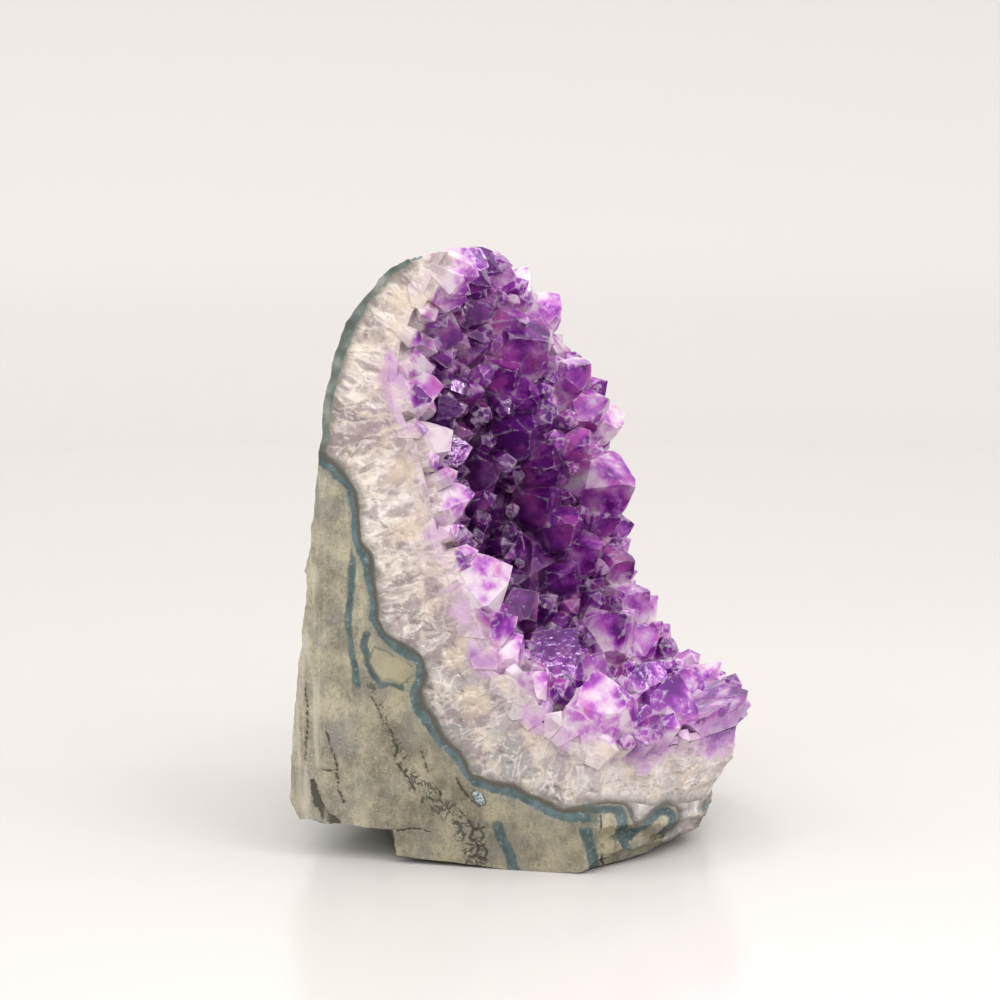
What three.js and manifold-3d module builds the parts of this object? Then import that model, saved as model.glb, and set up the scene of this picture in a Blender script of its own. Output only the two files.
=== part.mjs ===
// A cut-base amethyst cluster: a piece sawn from a geode, standing on its sawn foot.
// Millimetres, +Z up. The stone is laid out in the frame of its near sawn face:
// x runs right along that face, y runs into the stone and z runs up.
import * as THREE from 'three';
import Module from 'manifold-3d';
import { ConvexGeometry } from 'three/addons/geometries/ConvexGeometry.js';
import { mergeVertices } from 'three/addons/utils/BufferGeometryUtils.js';

// Driving dimensions
const HEIGHT = 130;             // foot to the top of the quartz
const DEPTH = 78;               // near sawn face to far sawn face
const GAP = 0.3;                // between layers that touch
const BAND_THICKNESS = 3.4;     // teal and brown band round the geode
const SKIN_THICKNESS = 1.6;     // the same band where it is the outer skin of the upper back
const ROOT_DEPTH = 1.6;         // crystal roots, grown together below the bed of the hollow
const FRONT_TURN = -62;         // degrees from the near face's frame to the frame with the hollow in front

// Crystals
const TIP_NORMAL = THREE.MathUtils.degToRad(51.8);  // quartz tip faces to the crystal's axis
const ROOT_LENGTH = 4;          // of each crystal below the bed, which the crust's rock side cuts off
const SIDE_SPREAD = [0.86, 1.12];  // of a main crystal's six sides from its axis, per radius
const MINOR_TIP = [0.1, 0.34];  // how far its three smaller tip faces stand out, per radius
const SEED = 7;
const ROW_STEP = 2;             // depth between the rows of places where crystals may stand
const MAIN_STEP = 2;            // spacing of the places in a row for the main crystals
const FILLER_STEP = 5.2;        // and for the small ones
const FILLER_LENGTH = [4.8, 8.6];
const FILLER_SPREAD = 0.72;     // radius at the bed of a small crystal, per length
const FILLER_CROWDING = 0.96;   // least distance of a small crystal from another, per sum of their radii
const LEAN = 0.34;              // how far a small crystal leans, sideways per length
const TIP_SHARE = 0.62;         // the part of a crystal's length where it is widest to the eye
const DEPTH_WEIGHT = 0.04;      // of two places on one line of sight, the nearer is taken

// Counts
const BAND_POINTS = 32;
const SKIN_POINTS = 8;
const BED_POINTS = 18;
const BACK_FACE_POINTS = 9;     // of each back line, before it turns under the stone
const SKIN_JOIN = 2;            // the skin's inner side starts at this point, clear of the band
const LIP_STEPS = 4;
const STATIONS = [0, 4, 15, 28, 41, 54, 67, DEPTH];
const ROOT_MARGIN = 0.8;        // least distance of a crystal's root from a sawn face, per radius

// Tolerances
const SAME_VERTEX = 1e-4;
const SAME_CORNER = 0.05;
const PARALLEL = 1e-3;          // planes whose normals span less than this volume don't meet

// Key sections across the stone, each at its depth y, as [x, z] points.
// back: from the top of the basalt down the back, under the stone and up to the front lip.
// band: the basalt side of the teal band, from the back of the stone to the front lip.
// bandInner: its quartz side, where that has bends of its own.
// skin: the outer skin above the basalt, up to the top. bed: from the top to the front lip.
const SECTIONS = [
  {
    y: 0,
    back: [[-41.6, 83.6], [-42.9, 72.6], [-44.1, 59.7], [-45.6, 46.6], [-47, 33.5], [-48.1, 19.2],
      [-48.4, 12.6], [-46.4, 8.3], [-38.6, 7.9], [-25.8, 7.3], [-25, 1.7], [-13, 1], [0, 0],
      [10, 0], [15, 0.4], [18, 2.8]],
    band: [[-41.6, 83.6], [-38.4, 81], [-35.5, 78.8], [-34.7, 72.5], [-34.6, 68.5], [-34.2, 65.2],
      [-32.5, 62], [-31.2, 56.4], [-31.6, 53], [-29.7, 50.3], [-28, 47.2], [-25.8, 44.9], [-22.6, 43.6],
      [-21, 41.5], [-22.2, 37.6], [-23.4, 35.2], [-20.7, 31.4], [-18.3, 28], [-15.8, 24.6],
      [-11.6, 21.6], [-10, 18.9], [-8, 17], [-3, 15.3], [0.6, 14.9], [4.5, 13.3], [8, 11.2],
      [13.4, 9.8], [18, 10]],
    bandInner: [[-39.6, 87.4], [-37.4, 85.5], [-35.2, 83.4], [-32.9, 78.6], [-32.2, 74.8], [-32.8, 70],
      [-30.2, 66.9], [-29.3, 63.5], [-28.5, 57], [-28.4, 52.3], [-26.2, 48.9], [-22.5, 47.4],
      [-19.8, 45.6], [-17.5, 42], [-19.2, 36.5], [-17.2, 33.4], [-13.5, 27.9], [-9.6, 23.3],
      [-7.4, 19.7], [-3.9, 19.5], [0.6, 18.5], [4.2, 16.6], [7.5, 15.7], [11, 13.8], [18, 15.6]],
    skin: [[-41.6, 83.6], [-39.9, 98], [-38.5, 105.5], [-36.2, 112], [-31.5, 119.8], [-25.7, 126],
      [-22, 128]],
    bed: [[-14.1, 129.3], [-18.2, 121.5], [-23.3, 112], [-24.2, 99], [-20, 88.4], [-17, 76],
      [-12.6, 60], [-7.9, 48.8], [-0.5, 38.5], [9, 30], [18.6, 26]],
  },
  {
    y: 20,
    back: [[-46, 87], [-47.5, 74], [-48.5, 61], [-49.5, 47], [-50.5, 33], [-51.5, 19],
      [-51, 12], [-49.5, 7.6], [-43, 6.6], [-33.5, 6], [-32, 1.2], [-18, 0], [0, 0],
      [20, 0], [29, 0.9], [34.6, 3.8]],
    band: [[-46, 87], [-40, 79], [-37, 68], [-34.5, 57], [-29, 46], [-21, 35], [-11, 24.5], [1, 16.5],
      [14, 10.6], [25, 7.8], [35.6, 7.6]],
    skin: [[-46, 87], [-44, 98], [-41, 108], [-36.5, 117], [-31, 123.5], [-24, 128]],
    bed: [[-13.2, 128.8], [-18.5, 120], [-23.5, 109], [-24, 96], [-22, 84], [-18.5, 71], [-13, 57],
      [-4, 44], [9, 32.5], [25, 26], [41.6, 28.5]],
  },
  {
    y: 40,
    back: [[-48, 92], [-50.5, 78], [-52, 64], [-52.5, 50], [-53, 35], [-53, 20],
      [-51.5, 11], [-48.5, 6.5], [-44, 4.4], [-39.5, 3.6], [-38, 0.4], [-22, 0], [0, 0],
      [21, 0], [30.5, 1], [36.2, 3.8]],
    band: [[-48, 92], [-41, 83], [-36, 71], [-31, 59], [-25, 47.5], [-17, 36], [-6, 25], [7, 16.5],
      [19, 10.4], [28, 8], [37.2, 7.8]],
    skin: [[-48, 92], [-46, 101], [-42.5, 110], [-38, 117.5], [-32, 123.5], [-25, 127]],
    bed: [[-13.6, 127.2], [-17.5, 118], [-19.5, 106], [-19, 94], [-16.5, 81], [-11.5, 67], [-3.5, 53],
      [7.5, 41], [20, 32], [31, 27.5], [43, 28.5]],
  },
  {
    y: 60,
    back: [[-44.5, 102], [-48, 86], [-50, 70], [-50.5, 54], [-50.5, 38], [-50, 22],
      [-48.5, 12], [-46, 6.5], [-42.5, 3], [-40, 1.4], [-37, 0], [-22, 0], [-4, 0],
      [14, 0], [24, 1.8], [31, 6]],
    band: [[-44.5, 102], [-35, 94], [-26, 83], [-19.5, 70], [-14, 56.5], [-8, 44], [0.5, 32], [10.5, 21.5],
      [19, 14.5], [26, 10.5], [33, 9.6]],
    skin: [[-44.5, 102], [-41.5, 108.5], [-37.5, 114], [-33, 118.5], [-28.5, 121.5], [-24, 123]],
    bed: [[-15.5, 121], [-8.5, 115], [-3.2, 107], [1.6, 98], [5.4, 88], [8, 78], [8.4, 68],
      [10.5, 58], [15.5, 47], [22.5, 36.5], [34, 28.5]],
  },
  {
    y: DEPTH,
    back: [[-36.5, 100], [-39, 86], [-41, 70], [-42, 54], [-42, 38], [-41, 22],
      [-39.5, 13], [-37.5, 8], [-35.5, 4.6], [-33.5, 2.6], [-31, 1.4], [-20, 1], [-8, 1],
      [2, 1.2], [10, 2.8], [16, 6.5]],
    band: [[-36.5, 100], [-30, 93], [-24.5, 83], [-20, 71], [-16.5, 58], [-11.5, 46], [-4.5, 34.5], [3, 24.5],
      [8.5, 17], [13, 11.8], [18, 9.8]],
    skin: [[-36.5, 100], [-34.5, 104], [-32, 107.5], [-29, 110.5], [-25.5, 112.5], [-22, 113.5]],
    bed: [[-15.5, 112], [-9.5, 104.5], [-4, 95], [-0.5, 84.5], [1.4, 73], [3, 62], [6.5, 50.5],
      [10.5, 41], [15, 33], [19.5, 27]],
  },
];
// The quartz stands this far above the line from its roots to the skin, at the top
const CROWN_RISE = 0.8;
// The skin's thickness at its ends, and how much more it has half-way up, per SKIN_THICKNESS
const SKIN_ENDS = 0.55;
const SKIN_SWELL = 0.75;
// How far the lip face bulges past the ends of the band and the bed, at each key section
const LIP_BULGE = [0, 2, 2, 1.6, 0.6];
// Waves of the band away from the near face: size, waves along it, and turn with depth
const BAND_WAVES = [[0.7, 5.2, 0.35], [0.4, 11.3, -0.8]];
const INNER_LAG = 0.012;        // its quartz side waves this share of its length behind the other
// Lumps of the natural back: size, waves up the back, and turn with depth
const BACK_LUMPS = [[1.5, 2.3, 0.21], [0.9, 5.1, -0.37], [0.6, 8.7, 0.62]];
const SKIN_PHASE = 1.2;         // where the skin's lumps start in the same waves
const GROUND_MARGIN = 16;       // lumps fade over this depth from a sawn face
// The space that the crystals may fill, from the lip's edge out: [right, up] of its corners
const LIP_CLEARANCE = [[1, 2], [3.4, 9]];
const SPACE_REACH = 60;
const SPACE_RISE = 34;

// Where the near face and the hollow are both seen from. The main crystals are laid out
// by where they show, from here, on the plane of the near face.
const VIEWPOINT = new THREE.Vector3(98, -473, 138);

// Main crystals: x and z on the near face's plane, radius, length, lean right, lean up
const MAIN_CRYSTALS = [
  // round the top
  [-8, 126, 4, 8, 0, 0.3], [-2, 123, 4.6, 8, 0, 0.3], [3, 124.5, 3.8, 7, 0.1, 0.4], [8, 119, 4.4, 8, 0.2, 0.3],
  [-14, 120, 4.6, 8, -0.1, 0.2], [-12.5, 112, 4.8, 8, 0, 0], [-6, 117.5, 5, 8, 0, 0.1],
  [1, 114.5, 5.4, 9, 0.1, 0.1], [5, 111, 7.6, 13, 0.1, 0],
  // near rim, from the top down
  [-20.5, 106, 4.2, 7, 0, 0], [-17.5, 100, 5.8, 9, 0, 0.1], [-12.5, 97.5, 4.4, 8, 0, -0.1],
  [-17.5, 88.5, 4.4, 8, -0.1, 0.1], [-11.5, 88, 4.2, 9, 0, 0], [-14, 77, 4.8, 9, 0, 0],
  [-6, 61, 7.2, 12, 0.1, 0.2], [3, 57, 5.2, 11, 0, 0.1], [-5, 51, 5, 9, 0, 0],
  // the dark middle of the hollow
  [-1, 104, 5.4, 9, 0, 0], [3.5, 100.5, 5.2, 9, 0, 0], [2, 92, 6.6, 11, 0, 0], [7, 86, 6.2, 10, 0.1, 0],
  [-3.5, 84.5, 5.8, 9, 0, 0], [5, 78, 6.2, 9, 0, 0.1], [11, 73, 5.6, 10, 0, 0], [16.5, 69, 5.4, 9, 0.1, 0],
  [12.5, 62.5, 5, 9, 0, 0],
  // far rim, from the top down
  [15, 105, 4.2, 8, 0.1, 0.2], [17, 98.5, 5, 9, 0.2, 0.2], [20, 104, 3.6, 7, 0.2, 0.1],
  [20, 96, 5.2, 10, 0.2, 0], [15, 90, 4.6, 8, 0, 0], [20.5, 83.5, 7.4, 13, 0.35, -0.1],
  [20, 75.5, 4.4, 8, 0.2, 0], [25, 74.5, 3.4, 7, 0.3, 0], [23, 66, 4.6, 8, 0.2, 0], [26, 59, 5.4, 9, 0.2, 0.1],
  [22.5, 52.5, 6.4, 11, 0.1, 0.1], [29, 52, 4.6, 8, 0.3, 0],
  // the floor and the lip
  [12, 47.5, 8, 12, 0.1, 0.4], [19, 44.5, 5.6, 10, 0, 0.2], [0, 46, 5, 8, 0, 0.2],
  [3, 37.5, 4.4, 7, 0, 0.1], [21, 35.5, 7, 15, -0.35, 0.25], [30.5, 43.5, 5.8, 10, 0.1, 0.2],
  [36, 43, 5, 9, 0.3, 0.1], [36, 34.5, 6.8, 13, 0.3, 0.35], [42, 32, 4.4, 9, 0.3, 0.1],
  [13, 33, 4.6, 7, 0, 0.2], [28, 33, 4.4, 8, 0, 0.1],
];

const wasm = await Module();
wasm.setup();

// Seeded random numbers, the same in each run
function makeRandom(seed) {
  let state = seed;
  return (low = 0, high = 1) => {
    state = (state + 0x6d2b79f5) | 0;
    let mixed = Math.imul(state ^ (state >>> 15), 1 | state);
    mixed = (mixed + Math.imul(mixed ^ (mixed >>> 7), 61 | mixed)) ^ mixed;
    return low + (high - low) * (((mixed ^ (mixed >>> 14)) >>> 0) / 4294967296);
  };
}

// Curves of one section

function resample(points, count) {
  const curve = new THREE.SplineCurve(points.map(([x, z]) => new THREE.Vector2(x, z)));
  return curve.getSpacedPoints(count - 1);
}

// A line moved sideways by a distance for each share of its length: to the left of its run if positive
function offset(points, distanceAt) {
  return points.map((point, i) => {
    const before = points[Math.max(i - 1, 0)];
    const after = points[Math.min(i + 1, points.length - 1)];
    const along = after.clone().sub(before).normalize();
    const distance = distanceAt(i / (points.length - 1));
    return new THREE.Vector2(point.x - along.y * distance, point.y + along.x * distance);
  });
}

function waves(list, share, depth) {
  const wave = ([size, count, turn]) => size * Math.sin(2 * Math.PI * count * share + turn * depth);
  return list.reduce((sum, part) => sum + wave(part), 0);
}

function bandShape(section) {
  const band = resample(section.band, BAND_POINTS);
  const inner = section.bandInner
    ? resample(section.bandInner, BAND_POINTS)
    : offset(band, () => BAND_THICKNESS);
  if (section.y === 0) {
    return { band, inner };
  }
  const fade = (share) => Math.sqrt(Math.max(0, Math.sin(Math.PI * share)));
  const wave = (share) => fade(share) * waves(BAND_WAVES, share, section.y);
  return { band: offset(band, wave), inner: offset(inner, (share) => wave(share + INNER_LAG)) };
}

function keySection(section, number) {
  const { band, inner } = bandShape(section);
  return {
    y: section.y,
    back: section.back.map(([x, z]) => new THREE.Vector2(x, z)),
    band,
    inner,
    skin: resample(section.skin, SKIN_POINTS),
    bed: resample(section.bed, BED_POINTS),
    bulge: [new THREE.Vector2(LIP_BULGE[number], 0)],
  };
}

const KEY_SECTIONS = SECTIONS.map(keySection);

// The section at any depth, on a smooth curve through the key sections
function sectionAt(y) {
  const last = KEY_SECTIONS.length - 1;
  let i = 0;
  while (i < last - 1 && y > KEY_SECTIONS[i + 1].y) {
    i += 1;
  }
  const share = (y - KEY_SECTIONS[i].y) / (KEY_SECTIONS[i + 1].y - KEY_SECTIONS[i].y);
  const four = [i - 1, i, i + 1, i + 2].map((k) => KEY_SECTIONS[Math.min(Math.max(k, 0), last)]);
  const blend = (name) => four[1][name].map((point, n) => {
    const spline = new THREE.SplineCurve(four.map((section) => section[name][n]));
    return spline.getPoint((1 + share) / 3);
  });
  return {
    y,
    back: sawnFlat(lump(blend('back'), y, 0, BACK_FACE_POINTS)),
    band: blend('band'),
    inner: blend('inner'),
    skin: lump(blend('skin'), y, SKIN_PHASE, SKIN_POINTS - 1),
    bed: blend('bed'),
    bulge: blend('bulge')[0].x,
  };
}

// The natural back's lumps on the first points of a line, which fade at both ends and at the sawn faces
function lump(points, y, start, count) {
  const ground = Math.min(1, y / GROUND_MARGIN, (DEPTH - y) / GROUND_MARGIN);
  return points.map((point, i) => {
    const share = i / (points.length - 1);
    const ends = Math.max(0, Math.min(1, i / 2, (count - i) / 2));
    return new THREE.Vector2(point.x + ground * ends * waves(BACK_LUMPS, start + share, y), point.y);
  });
}

// The foot is sawn flat
function sawnFlat(points) {
  return points.map((point) => new THREE.Vector2(point.x, Math.max(point.y, 0)));
}

// Solids

function toSolid(geometry) {
  const bare = geometry.clone();
  bare.deleteAttribute('normal');
  bare.deleteAttribute('uv');
  const merged = mergeVertices(bare, SAME_VERTEX);
  const mesh = new wasm.Mesh({
    numProp: 3,
    vertProperties: new Float32Array(merged.attributes.position.array),
    triVerts: new Uint32Array(merged.index.array),
  });
  return new wasm.Manifold(mesh);
}

function toGeometry(solid) {
  const mesh = solid.getMesh();
  const geometry = new THREE.BufferGeometry();
  geometry.setAttribute('position', new THREE.BufferAttribute(new Float32Array(mesh.vertProperties), 3));
  geometry.setIndex(new THREE.BufferAttribute(new Uint32Array(mesh.triVerts), 1));
  geometry.computeVertexNormals();
  return geometry;
}

// A closed solid through closed loops of [x, z] points, one loop at each depth
function loft(loops, depths) {
  if (THREE.ShapeUtils.isClockWise(loops[0])) {
    loops.forEach((loop) => loop.reverse());
  }
  const count = loops[0].length;
  const positions = [];
  const indices = [];
  loops.forEach((loop, n) => loop.forEach((point) => positions.push(point.x, depths[n], point.y)));
  const pointOf = (index) => loops[Math.floor(index / count)][index % count];
  const span = (a, b) => pointOf(a).distanceTo(pointOf(b));
  for (let n = 0; n < loops.length - 1; n += 1) {
    for (let i = 0; i < count; i += 1) {
      const next = (i + 1) % count;
      const [a, b] = [n * count + i, n * count + next];
      const [c, d] = [a + count, b + count];
      if (span(a, d) < span(b, c)) {
        indices.push(a, d, b, a, c, d);
      } else {
        indices.push(a, c, b, b, c, d);
      }
    }
  }
  const lastStart = (loops.length - 1) * count;
  for (const [a, b, c] of THREE.ShapeUtils.triangulateShape(loops[0], [])) {
    indices.push(a, b, c);
  }
  for (const [a, b, c] of THREE.ShapeUtils.triangulateShape(loops.at(-1), [])) {
    indices.push(lastStart + a, lastStart + c, lastStart + b);
  }
  const geometry = new THREE.BufferGeometry();
  geometry.setAttribute('position', new THREE.BufferAttribute(new Float32Array(positions), 3));
  geometry.setIndex(indices);
  geometry.computeVertexNormals();
  return geometry;
}

// Layers of the stone, each a loop in one section

const HALF_GAP = GAP / 2;

function basaltLoop({ back, band }) {
  const tip = new THREE.Vector2(back[0].x - HALF_GAP, back[0].y);
  const upTheBand = offset(band, () => -HALF_GAP).slice(1).reverse();
  return [tip, ...back.slice(1), ...upTheBand];
}

// The skin is thickest half-way up
function skinInside(skin) {
  const swell = (share) => SKIN_ENDS + SKIN_SWELL * Math.sin(Math.PI * share) ** 2;
  return offset(skin, (share) => -SKIN_THICKNESS * swell(share));
}

function liningLoop({ band, inner, skin }) {
  const outside = offset(band, () => HALF_GAP).slice(1);
  const inside = offset(inner, () => -HALF_GAP).reverse();
  return [...outside, ...inside, ...skinInside(skin).slice(SKIN_JOIN), ...[...skin].reverse()];
}

// The lip's outer face, between the bed and the band, bulging forward
function lipFace(top, foot, bulge, count) {
  const points = [];
  for (let i = 1; i < count; i += 1) {
    const share = i / count;
    const point = top.clone().lerp(foot, share);
    point.x += bulge * Math.sin(Math.PI * share);
    points.push(point);
  }
  return points;
}

// The rock side of the crystals' roots: square to the top of the stone and to the lip at its ends
function rootLine(bed, depth) {
  const line = offset(bed, () => -depth);
  line[0] = new THREE.Vector2(bed[0].x - depth, bed[0].y);
  line[line.length - 1] = new THREE.Vector2(bed.at(-1).x, bed.at(-1).y - depth);
  return line;
}

function quartzLoop({ inner, skin, bed, bulge }) {
  const bandSide = offset(inner, () => HALF_GAP);
  const skinSide = offset(skinInside(skin), () => -GAP).slice(SKIN_JOIN);
  const roots = rootLine(bed, ROOT_DEPTH + GAP);
  const crown = roots[0].clone().lerp(skinSide.at(-1), 0.5);
  crown.y += CROWN_RISE;
  const lip = lipFace(roots.at(-1), bandSide.at(-1), bulge, LIP_STEPS);
  return [...bandSide.reverse(), ...skinSide, crown, ...roots, ...lip];
}

// Everything in front of the crystals' rock side, out to where the ground surfaces cut them off
function hollowLoop({ bed }) {
  const lip = bed.at(-1);
  return [
    ...rootLine(bed, ROOT_DEPTH),
    ...LIP_CLEARANCE.map(([right, up]) => new THREE.Vector2(lip.x + right, lip.y + up)),
    new THREE.Vector2(SPACE_REACH, lip.y + SPACE_RISE),
    new THREE.Vector2(SPACE_REACH, HEIGHT),
    new THREE.Vector2(bed[0].x - ROOT_DEPTH, HEIGHT),
  ];
}

function bedLoop({ bed }) {
  return [...rootLine(bed, ROOT_DEPTH), ...[...bed].reverse()];
}

function layer(loopOf) {
  return loft(STATIONS.map((y) => loopOf(sectionAt(y))), STATIONS);
}

// Crystals

// The corners of a pointed six-sided crystal that stands on its root, from the faces that bound it.
// A small one is all tip. A main one has sides of its own and three tip faces smaller than the others.
function crystalCorners({ radius, length, main }, random) {
  const faces = [new THREE.Plane(new THREE.Vector3(0, 0, -1), -ROOT_LENGTH)];
  for (let k = 0; k < 6; k += 1) {
    const turn = (k * Math.PI) / 3;
    const side = new THREE.Vector3(Math.cos(turn), Math.sin(turn), 0);
    const tip = side.clone().multiplyScalar(Math.sin(TIP_NORMAL)).setZ(Math.cos(TIP_NORMAL));
    const minor = main ? (k % 2) * radius * random(...MINOR_TIP) : 0;
    faces.push(new THREE.Plane(tip, -(length * Math.cos(TIP_NORMAL) + minor)));
    if (main) {
      faces.push(new THREE.Plane(side, -radius * random(...SIDE_SPREAD)));
    }
  }
  const corners = [];
  const meeting = new THREE.Vector3();
  for (let a = 0; a < faces.length; a += 1) {
    for (let b = a + 1; b < faces.length; b += 1) {
      for (let c = b + 1; c < faces.length; c += 1) {
        if (meet(faces[a], faces[b], faces[c], meeting)
          && faces.every((face) => face.distanceToPoint(meeting) < SAME_VERTEX)
          && corners.every((corner) => corner.distanceTo(meeting) > SAME_CORNER)) {
          corners.push(meeting.clone());
        }
      }
    }
  }
  return corners;
}

// The point where three planes meet, if they do
function meet(a, b, c, target) {
  const matrix = new THREE.Matrix3().set(...a.normal, ...b.normal, ...c.normal);
  if (Math.abs(matrix.determinant()) < PARALLEL) {
    return false;
  }
  target.set(-a.constant, -b.constant, -c.constant).applyMatrix3(matrix.invert());
  return true;
}

function crystalSolid(crystal, random) {
  const { root, axis, turn } = crystal;
  const upright = new THREE.Quaternion().setFromUnitVectors(new THREE.Vector3(0, 0, 1), axis);
  const spin = new THREE.Quaternion().setFromAxisAngle(new THREE.Vector3(0, 0, 1), turn);
  const place = new THREE.Matrix4().compose(root, upright.multiply(spin), new THREE.Vector3(1, 1, 1));
  return toSolid(new ConvexGeometry(crystalCorners(crystal, random)).applyMatrix4(place));
}

// Points all over the bed, each with the way out of the rock
function bedPoints(stepAlong) {
  const bedAt = (y) => new THREE.SplineCurve(sectionAt(y).bed);
  const toSpace = ({ x, y: z }, y) => new THREE.Vector3(x, y, z);
  const points = [];
  for (let y = ROW_STEP / 2; y < DEPTH; y += ROW_STEP) {
    const line = bedAt(y);
    const [nearer, deeper] = [Math.max(y - ROW_STEP, 0), Math.min(y + ROW_STEP, DEPTH)];
    const [nearLine, deepLine] = [bedAt(nearer), bedAt(deeper)];
    const count = Math.round(line.getLength() / stepAlong);
    for (let i = 1; i < count; i += 1) {
      const share = i / count;
      const along = toSpace(line.getTangent(share), 0);
      const inward = toSpace(deepLine.getPoint(share), deeper).sub(toSpace(nearLine.getPoint(share), nearer));
      const out = along.cross(inward).normalize();
      if (out.x < 0) {
        out.negate();
      }
      points.push({ point: toSpace(line.getPoint(share), y), out });
    }
  }
  return points;
}

// Whether a crystal stands clear of the sawn faces, which then cut no more than its skirt
function hasRoom(root, radius) {
  return Math.min(root.y, DEPTH - root.y) > ROOT_MARGIN * radius;
}

function placeMain(points, random) {
  return MAIN_CRYSTALS.map(([x, z, radius, length, right, up]) => {
    const sight = new THREE.Vector3(x, 0, z).sub(VIEWPOINT).normalize();
    const ray = new THREE.Ray(VIEWPOINT, sight);
    const miss = ({ point, out }) => {
      const widest = point.clone().addScaledVector(out, length * TIP_SHARE);
      return Math.sqrt(ray.distanceSqToPoint(widest)) + DEPTH_WEIGHT * point.y;
    };
    const rooms = points.filter((place) => hasRoom(place.point, radius));
    const best = rooms.reduce((a, b) => (miss(a) < miss(b) ? a : b));
    const axis = best.out.clone().add(new THREE.Vector3(right, 0, up)).normalize();
    return { root: best.point, axis, radius, length, turn: random(0, Math.PI / 3), main: true };
  });
}

function placeFillers(points, placed, random) {
  const all = [...placed];
  const order = points.map((place) => ({ ...place, rank: random() })).sort((a, b) => a.rank - b.rank);
  for (const { point, out } of order) {
    const length = random(...FILLER_LENGTH);
    const radius = length * FILLER_SPREAD;
    const clear = all.every((other) => other.root.distanceTo(point) > FILLER_CROWDING * (other.radius + radius));
    if (clear && hasRoom(point, radius)) {
      const lean = new THREE.Vector3(random(-LEAN, LEAN), random(-LEAN, LEAN), random(-LEAN, LEAN));
      const axis = out.clone().add(lean).normalize();
      all.push({ root: point, axis, radius, length, turn: random(0, Math.PI / 3), main: false });
    }
  }
  return all;
}

// The outer surface alone: crystals that lean together can shut in a small pocket
function withoutPockets(solid) {
  return solid.decompose().reduce((a, b) => (a.volume() > b.volume() ? a : b));
}

function crystalCrust() {
  const random = makeRandom(SEED);
  const main = placeMain(bedPoints(MAIN_STEP), random);
  const all = placeFillers(bedPoints(FILLER_STEP), main, random);
  const hollow = toSolid(layer(hollowLoop));
  const solids = all.map((crystal) => crystalSolid(crystal, random));
  const crust = solids.reduce((sum, solid) => sum.add(solid), toSolid(layer(bedLoop)));
  return toGeometry(withoutPockets(crust.intersect(hollow)));
}

// Materials

const basalt = new THREE.MeshStandardMaterial({ color: 0x9a937c, roughness: 0.75, metalness: 0 });
const chalcedony = new THREE.MeshStandardMaterial({ color: 0x54747a, roughness: 0.3, metalness: 0 });
const quartz = new THREE.MeshStandardMaterial({ color: 0xd8d0d2, roughness: 0.2, metalness: 0 });
const amethyst = new THREE.MeshStandardMaterial({ color: 0x7b2d92, roughness: 0.08, metalness: 0 });

function named(name, geometry, material) {
  const mesh = new THREE.Mesh(geometry, material);
  mesh.name = name;
  return mesh;
}

const stone = new THREE.Group();
stone.add(named('basalt_matrix', layer(basaltLoop), basalt));
stone.add(named('agate_lining', layer(liningLoop), chalcedony));
stone.add(named('quartz_layer', layer(quartzLoop), quartz));
stone.add(named('amethyst_crystals', crystalCrust(), amethyst));
stone.rotation.z = THREE.MathUtils.degToRad(FRONT_TURN);

// The origin is under the middle of the whole cluster, on the foot
const cluster = new THREE.Group();
cluster.add(stone);
cluster.updateMatrixWorld(true);
const box = new THREE.Box3().setFromObject(cluster, true);
const centre = box.getCenter(new THREE.Vector3());
stone.position.set(-centre.x, -centre.y, -box.min.z);

export default cluster;
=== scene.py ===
import math
import random

import bmesh
import bpy
import numpy as np
from mathutils import Matrix, Vector, noise
from mathutils.bvhtree import BVHTree
from mathutils.kdtree import KDTree


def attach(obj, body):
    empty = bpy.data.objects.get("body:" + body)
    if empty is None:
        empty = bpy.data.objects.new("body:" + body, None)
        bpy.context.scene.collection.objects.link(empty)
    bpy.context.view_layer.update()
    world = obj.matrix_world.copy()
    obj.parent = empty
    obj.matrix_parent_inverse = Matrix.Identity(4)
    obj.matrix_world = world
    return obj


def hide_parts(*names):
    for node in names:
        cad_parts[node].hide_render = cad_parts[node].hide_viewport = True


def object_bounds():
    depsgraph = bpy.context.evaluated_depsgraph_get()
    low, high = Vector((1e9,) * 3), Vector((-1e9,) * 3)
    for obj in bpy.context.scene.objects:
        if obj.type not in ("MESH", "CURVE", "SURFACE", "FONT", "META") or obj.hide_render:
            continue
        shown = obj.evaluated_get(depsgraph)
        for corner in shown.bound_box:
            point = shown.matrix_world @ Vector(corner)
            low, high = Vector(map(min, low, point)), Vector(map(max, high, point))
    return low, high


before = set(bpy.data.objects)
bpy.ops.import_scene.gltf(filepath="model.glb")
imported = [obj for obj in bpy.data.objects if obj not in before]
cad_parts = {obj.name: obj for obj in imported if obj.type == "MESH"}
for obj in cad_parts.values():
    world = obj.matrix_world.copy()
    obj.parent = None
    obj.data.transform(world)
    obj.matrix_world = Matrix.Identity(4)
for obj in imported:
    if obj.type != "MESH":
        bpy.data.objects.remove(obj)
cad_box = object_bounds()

# The stone is worked in the frame of its near sawn face, in millimetres: x runs right along
# that face, y runs into the stone and z runs up.
PER_MM = 0.001
FRONT_TURN = math.radians(-62)  # from that frame to the part's
NEAR_LEFT = -48.4  # x of the near face's leftmost point
DEPTH = 78.0  # near sawn face to far sawn face
GAP_REACH = 0.5  # a neighbour this near is in contact
ON_FACE = 0.05  # a vertex this near a sawn face lies on it
SAWN = 0.02  # or this near, where the mesh is refined
SAME_VERTEX = 0.002
FAR = 1e3  # further than anything on the stone
VIEWPOINT = Vector((98.1, -473.4, 137.8))
SIGHT_TURN = math.radians(12)  # the camera looks from this far right of the near face's normal
SIGHT_RISE = math.radians(7)
SEED = 11
noise.seed_set(SEED)


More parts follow.
